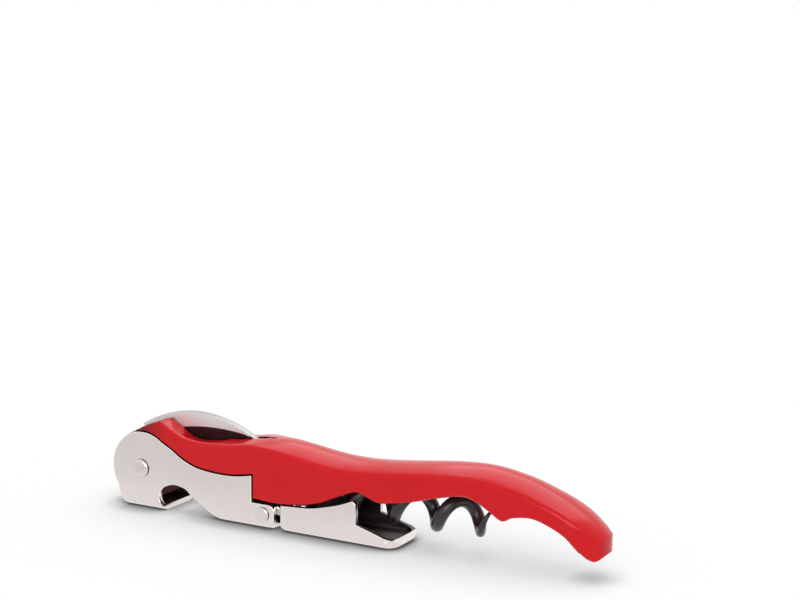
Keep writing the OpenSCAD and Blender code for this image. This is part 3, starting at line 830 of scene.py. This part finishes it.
# Cuts across it: along and up at the back, along and up below, crown and half width
HANDLE_CUTS = [
    (8.6, 18.85, 8.6, 5.95, 0.4, 6),
    (10.6, 18.55, 10.6, 5.95, 0.4, 6),
    (13, 18.15, 13, 5.95, 0.35, 6),
    (18.6, 17.5, 18.6, 5.95, 0.3, 6),
    (24, 17.85, 24, 5.95, 0.4, 6),
    (29, 18.7, 30, 6.25, 0.6, 6),
    (35, 19.1, 35, 6.0, 1.6, 6),
    (40.5, 18.7, 40.5, 6.35, 2.1, 6),
    (46, 17.95, 46.5, 7.55, 2.1, 6),
    (51, 17.5, 52, 9.95, 2.1, 6),
    (55.5, 17.4, 56.05, 11.4, 1.8, 6),
    (59, 17.55, 58.9, 10.55, 1.7, 6),
    (62.5, 17.85, 61.9, 9.85, 1.6, 6),
    (68, 18.5, 68, 10.9, 1.6, 6),
    (74.5, 19.35, 75, 12.85, 1.9, 6),
    (80, 19.85, 80.8, 14.1, 2.1, 6),
    (84.3, 19.95, 84, 13.45, 2.35, 6),
    (87.5, 19.65, 86.9, 11.9, 2.3, 6),
    (90.3, 19.15, 89.8, 10.3, 2.25, 6),
    (93.5, 18.45, 92.2, 11.3, 2.1, 6),
    (97.5, 17.1, 96.3, 11.8, 1.85, 6),
    (101.6, 15.4, 100.1, 10.7, 1.5, 5.85),
    (105.45, 13.35, 103.3, 9.0, 1.3, 5.6),
    (108.7, 11.0, 105.4, 6.9, 1.3, 5.2),
    (110.6, 9.3, 107.2, 5.15, 1.35, 4.75),
    (111.6, 8.4, 108.7, 4.45, 1.4, 4.4),
    (112.3, 7.7, 109.8, 4.7, 1.3, 4.1),
    (112.8, 7.2, 111.0, 5.8, 0.9, 3.8),
]
# Plan of the rounded tail end
TAIL_END = smooth_line(
    [(105, 5.6), (107.6, 4.75), (109.3, 4.05), (110.3, 3.0), (110.8, 1.6), (111, 0)], 6
)
# Top of the head in side view, as wide as the grip
HEAD_TOP = smooth_line(
    [
        (-1.25, 17.84),
        (0.35, 18.75),
        (1.75, 19.4),
        (3.1, 19.95),
        (4.8, 20.4),
        (6.4, 20.55),
        (8.5, 20.5),
        (10.6, 20.2),
    ],
    4,
)
# Left of the head's core, as radius and angle round the main pivot
CORE_LEFT = ((7.5, 165), (7.95, 147), (8.36, 130), (8.42, 111))
# The upper arm's top line with the gap that the handle leaves over it
OVER_ARM = [(x + 0.15, z + 0.45) for x, z in ARM_TOP]
# Half the width of the head's core and of the groove for the worm
CORE_HALF = 4.6
# Floor of the nail recess in side view, beside the knife and at the handle's sides
RECESS_MID = [
    (5.2, 30),
    (5.45, 20.3),
    (6.45, 19.75),
    (7.75, 19.0),
    (8.9, 18.2),
    (10, 17.45),
    (11.4, 16.85),
    (12.75, 16.6),
    (14.6, 16.5),
    (17.3, 16.75),
    (20.9, 17.45),
    (25, 19.5),
    (25, 30),
]
RECESS_SIDE = [
    (4.0, 30),
    (4.2, 20.45),
    (5.35, 20.0),
    (6.7, 19.58),
    (8.6, 18.98),
    (10.5, 18.42),
    (11.85, 18.1),
    (13.45, 17.83),
    (15.3, 17.57),
    (17.4, 17.42),
    (20.9, 17.75),
    (25, 19.5),
    (25, 30),
]
RECESS_EDGE_R = 1.5
# Lanes of the recess across the handle, closer together over its rounded edge
HALF_LANES = [0.5, 1, 1.5, 2, 2.5, 3, 3.5, 4, 4.5, 4.8, 5.1, 5.4, 5.65, 5.85, 5.96, 6, 7]
RECESS_LANES = [-y for y in reversed(HALF_LANES)] + HALF_LANES


def recess_lane(y):
    """The recess floor along one lane, dropping away over the edge at the handle's sides."""
    t = (max(abs(y) - 1, 0) / 5) ** 2
    mid, side = (
        [line[0]] + smooth_line(line[1:-1], 3) + [line[-1]] for line in (RECESS_MID, RECESS_SIDE)
    )
    lane = [
        Vector((a[0] + (b[0] - a[0]) * t, a[1] + (b[1] - a[1]) * t)) for a, b in zip(mid, side)
    ]
    over = min(max(abs(y) - HALF_W + RECESS_EDGE_R, 0), RECESS_EDGE_R)
    drop = RECESS_EDGE_R - sqrt(RECESS_EDGE_R**2 - over**2)
    places = []
    for k, place in enumerate(lane):
        along = (lane[min(k + 1, len(lane) - 1)] - lane[max(k - 1, 0)]).normalized()
        places.append(spot(place.x + drop * along.y, y, place.y - drop * along.x))
    return places


def handle_ring(cut):
    """One cut across the handle: flat sides, round lower edges, and a crowned, creased back."""
    back_x, back_z, low_x, low_z, crown, half = cut
    top, low = Vector((back_x, 0, back_z)), Vector((low_x, 0, low_z))
    high = (top - low).length
    up = (top - low) / high
    side = high - crown
    r = min(0.7 if half > 5 else 1.2, high / 3)
    ease = min(0.85, side / 3, half / 4)

    def crowned(y):
        return side + crown * (1 - (y / half) ** 2)

    profile = [
        (half - r + r * sin(radians(a)), r - r * cos(radians(a))) for a in (0, 22.5, 45, 67.5, 90)
    ]
    start, corner, end = (half, side - ease), (half, side), (half - ease, crowned(half - ease))
    for k in range(7):
        t = k / 6
        crease = zip(start, corner, end)
        profile.append(
            tuple((1 - t) ** 2 * p + 2 * t * (1 - t) * q + t * t * s for p, q, s in crease)
        )
    for k in range(1, 7):
        y = (half - ease) * (1 - k / 7)
        profile.append((y, crowned(y)))
    places = []
    for y, h in profile + [(0, high)] + [(-y, h) for y, h in reversed(profile)]:
        place = low + up * h
        places.append(spot(place.x, y, place.z))
    return places


def head_core():
    """The narrower part of the head, between the side plates, with the worm pin's holes."""
    left = [
        (PIVOT[0] + r * cos(radians(a)), PIVOT[1] + r * sin(radians(a))) for r, a in CORE_LEFT
    ]
    outline = smooth_line(left, 5) + HEAD_TOP
    outline += [(13, 17.4), (18.6, 17.1), (24.5, 16.7), (24.5, 1.6), (20.6, 1.6)]
    outline += [(13.2, 6.0), (12.1, 6.8), (4.4, 6.8)] + arc(*PIVOT, 7.5, -58, -190, 40)
    core = saw_out("core", outline, -CORE_HALF, CORE_HALF)
    bore = 1.03
    for end in (-5.2, 4.2):
        hole = turn_up("pin_hole", (WORM_PIN_X, WORM_Z), [(bore, end), (bore, end + 1)], 40)
        work(core, hole, "DIFFERENCE")
    return core


def head_cap():
    """The top of the head, which runs out over the side plates with rounded edges."""
    under = [(x, z) for x, z in reversed(OVER_ARM) if x < 10.55] + arc(*HEAD, 8.85, 56, 100.5, 12)
    cap = saw_out("head_cap", HEAD_TOP + [(10.6, 13.6)] + under, -HALF_W, HALF_W)

    def along_top(a, b):
        same_side = a[1] * b[1] > 30
        clear_of_plates = all(
            (x - HEAD[0]) ** 2 + (z - HEAD[1]) ** 2 > 8.95**2 and z > 18.1 for x, _, z in (a, b)
        )
        return same_side and clear_of_plates and max(a[0], b[0]) < 10.5

    round_edges(cap, along_top, 0.6, 4)
    return cap


def lacquered_handle():
    """Cast handle: a crowned grip, a head between the side plates, a nail recess and slots."""
    rings = [handle_ring(cut) for cut in smooth_line(HANDLE_CUTS, 5)]
    handle = draw_out("lacquered_handle", rings)
    plan = TAIL_END + [(x, -y) for x, y in reversed(TAIL_END[:-1])] + [(125, -8.5), (125, 8.5)]
    work(handle, stand_up("tail_end", plan, 0, 20), "DIFFERENCE")
    pocket = [(0, -1), (0, 16.15)] + OVER_ARM + [(30.25, 11.95), (30.25, -1)]
    work(handle, saw_out("pocket", pocket, -20, 20), "DIFFERENCE")
    core = head_core()
    work(handle, head_cap(), "UNION")
    work(handle, core, "UNION")
    work(handle, draw_out("nail_recess", [recess_lane(y) for y in RECESS_LANES]), "DIFFERENCE")
    groove = [(24.5, -1), (24.5, 11.4), (30.6, 11.4), (34.6, 13.85)]
    groove += [(69, 13.85), (74, 12.55), (74, -1)]
    work(handle, saw_out("groove", groove, -CORE_HALF, CORE_HALF), "DIFFERENCE")
    arch_r = 2.75
    arch = [(-arch_r, -1), (arch_r, -1)] + arc(0, WORM_Z, arch_r, 0, 180, 20)
    work(handle, push_through("shank_slot", arch, 15.05, 25.5), "DIFFERENCE")
    slot_x = [-9 + 34.4 * k / 40 for k in range(41)]
    slot = [(x, knife_edge(x, 42.3)) for x in slot_x] + arc(*KNIFE_PIN, 3.9, -80, 0, 10)
    slot += [(32.5, 23.2), (32.5, 40), (-9, 40)]
    work(handle, saw_out("knife_slot", slot, -1, 1), "DIFFERENCE")
    break_edges(handle, 0.22, 55)
    fit(handle, "handle", "red_lacquer", "handle_body")

    # Painted shade: faces under the head, inside the groove and inside the knife slot get the dark
    # lacquer.
    def inner(x, y, z, n):
        under_head = x < 24.6 and z < 11 and abs(y) < 4.5 and n.z < 0.3
        in_groove = 24.4 < x < 74.1 and abs(y) < CORE_HALF + 0.02 and z < 13.9
        groove_wall = n.z < -0.9 or n.y * y < 0 or abs(n.x) > 0.9
        in_knife_slot = x < 33 and abs(y) < 1.02 and z > 13.5
        slot_wall = n.y * y < 0 or z < 20 and n.z > 0.2
        return under_head or in_groove and groove_wall or in_knife_slot and slot_wall

    recoat(handle, "shade_dark_lacquer", inner)


# Spring


def torsion_spring():
    """Small coil on the hinge sleeve, with a leg along each arm."""
    coil_r, coil_w, wire_r, turns, steps = 1.61, 3.28, 0.2, 4, 24
    path = [spot(HINGE[0] - 4.6, -coil_w / 2, HINGE[1] - coil_r)]
    for k in range(turns * steps + 1):
        turn = 2 * pi * k / steps
        x, z = HINGE[0] + coil_r * sin(turn), HINGE[1] - coil_r * cos(turn)
        path.append(spot(x, coil_w * (k / (turns * steps) - 0.5), z))
    path.append(spot(HINGE[0] + 6.6, coil_w / 2, HINGE[1] - coil_r))
    ups = [Vector((0, 1, 0))] * len(path)
    spring = draw_out("torsion_spring", tube_rings(path, ups, [wire_r] * len(path), 10))
    smooth(spring, 50)
    fit(spring, "lever", "dark_steel", "hinge_spring")


crown_lever()
thumb_lever()
rivet("main_rivet_bright", PIVOT, shank_r=1.6, head_r=2.1, head_h=0.75)
rivet("hinge_rivet_bright", HINGE, shank_r=1.1, head_r=1.65, head_h=0.64)
coated_worm()
foil_knife()
lacquered_handle()
torsion_spring()


# Stage


def ray_is(nodes, links, *kinds):
    """1 for a ray of any of these kinds, 0 for all others."""
    path = nodes.new("ShaderNodeLightPath")
    found = path.outputs[kinds[0]]
    for kind in kinds[1:]:
        either = nodes.new("ShaderNodeMath")
        either.operation = "MAXIMUM"
        links.new(found, either.inputs[0])
        links.new(path.outputs[kind], either.inputs[1])
        found = either.outputs[0]
    return found


def pale_floor():
    """A white sheet just under the tool, which keeps its shade and shows in bright metal."""
    bpy.ops.object.select_all(action="DESELECT")
    bpy.ops.mesh.primitive_plane_add(size=6, location=(0, 0, -0.03 * MM))
    floor = bpy.context.object
    floor.name = "pale_floor"
    paint = bpy.data.materials.new("pale_floor")
    paint.use_nodes = True
    nodes, links = paint.node_tree.nodes, paint.node_tree.links
    nodes.clear()

    def shade(distance, narrow, darkest):
        """From darkest in a narrow gap under the tool to 1 on the open floor."""
        near_by = nodes.new("ShaderNodeAmbientOcclusion")
        near_by.inputs["Distance"].default_value = distance
        return rescale(nodes, links, near_by.outputs["AO"], (narrow, 0.95), (darkest, 1))

    # The light that it gives back to the tool
    matt = nodes.new("ShaderNodeBsdfDiffuse")
    gap = shade(0.006, 0.3, 0.1)
    bounce = mingle(nodes, links, gap, (0.05, 0.05, 0.05), (0.76, 0.67, 0.72))
    links.new(bounce, matt.inputs["Color"])
    # What bright metal mirrors of it, a little grey away from the tool
    mirrored = nodes.new("ShaderNodeEmission")
    off = nodes.new("ShaderNodeMath")
    off.operation = "ABSOLUTE"
    links.new(place_along(nodes, links, "Y"), off.inputs[0])
    grey = rescale(nodes, links, off.outputs[0], (0.008, 0.045), (1, 0.86), soft=True)
    links.new(grey, mirrored.inputs["Strength"])
    # What the lens sees: clear but for the soft shade, so that pieces swung below it show
    sheet = nodes.new("ShaderNodeBsdfTransparent")
    soft_shade = nodes.new("ShaderNodeMath")
    soft_shade.operation = "MULTIPLY"
    links.new(shade(0.007, 0.3, 0.12), soft_shade.inputs[0])
    links.new(shade(0.05, 0.45, 0.66), soft_shade.inputs[1])
    links.new(soft_shade.outputs[0], sheet.inputs["Color"])
    face = matt
    for look, kinds in (
        (mirrored, ("Is Glossy Ray", "Is Transmission Ray")),
        (sheet, ("Is Camera Ray",)),
    ):
        pick = nodes.new("ShaderNodeMixShader")
        links.new(ray_is(nodes, links, *kinds), pick.inputs["Fac"])
        links.new(face.outputs[0], pick.inputs[1])
        links.new(look.outputs[0], pick.inputs[2])
        face = pick
    out = nodes.new("ShaderNodeOutputMaterial")
    links.new(face.outputs[0], out.inputs["Surface"])
    floor.data.materials.append(paint)


def studio_air():
    """White all round to the lens and in reflections, and a weaker light on the tool."""
    world = bpy.data.worlds.new("studio_air")
    bpy.context.scene.world = world
    world.use_nodes = True
    nodes, links = world.node_tree.nodes, world.node_tree.links
    backdrop = nodes["Background"]
    backdrop.inputs["Color"].default_value = (1, 1, 1, 1)
    seen = ray_is(nodes, links, "Is Camera Ray", "Is Glossy Ray", "Is Transmission Ray")
    links.new(rescale(nodes, links, seen, (0, 1), (0.4, 1)), backdrop.inputs["Strength"])


def softbox(name, place, watts):
    """A broad lamp, aimed at the middle of the tool."""
    lamp = bpy.data.lights.new(name, "AREA")
    lamp.shape = "RECTANGLE"
    lamp.size = 0.5
    lamp.size_y = 0.4
    lamp.energy = watts
    holder = bpy.data.objects.new(name, lamp)
    bpy.context.scene.collection.objects.link(holder)
    holder.location = place
    aim = Vector((0, 0, 0.01)) - Vector(place)
    holder.rotation_euler = aim.to_track_quat("-Z", "Y").to_euler()


def lens():
    """The camera at the photograph's viewing angle."""
    camera = bpy.data.cameras.new("lens")
    camera.sensor_width = 36
    camera.lens = 76.2255
    camera.clip_start = 0.01
    holder = bpy.data.objects.new("lens", camera)
    bpy.context.scene.collection.objects.link(holder)
    ahead = Vector((-0.4763, 0.864, -0.1621)).normalized()
    right = Vector((0.875, 0.484, 0.0094))
    right = (right - right.dot(ahead) * ahead).normalized()
    up = right.cross(ahead)
    place = Matrix((right, up, -ahead)).transposed().to_4x4()
    place.translation = Vector((0.17851, -0.303, 0.10912))
    holder.matrix_world = place
    bpy.context.scene.camera = holder


pale_floor()
studio_air()
softbox("top_softbox", (-0.02, 0.24, 0.42), 1.2)
softbox("front_fill", (0.25, -0.58, 0.3), 1.95)
lens()
bpy.context.scene.view_settings.view_transform = "Standard"
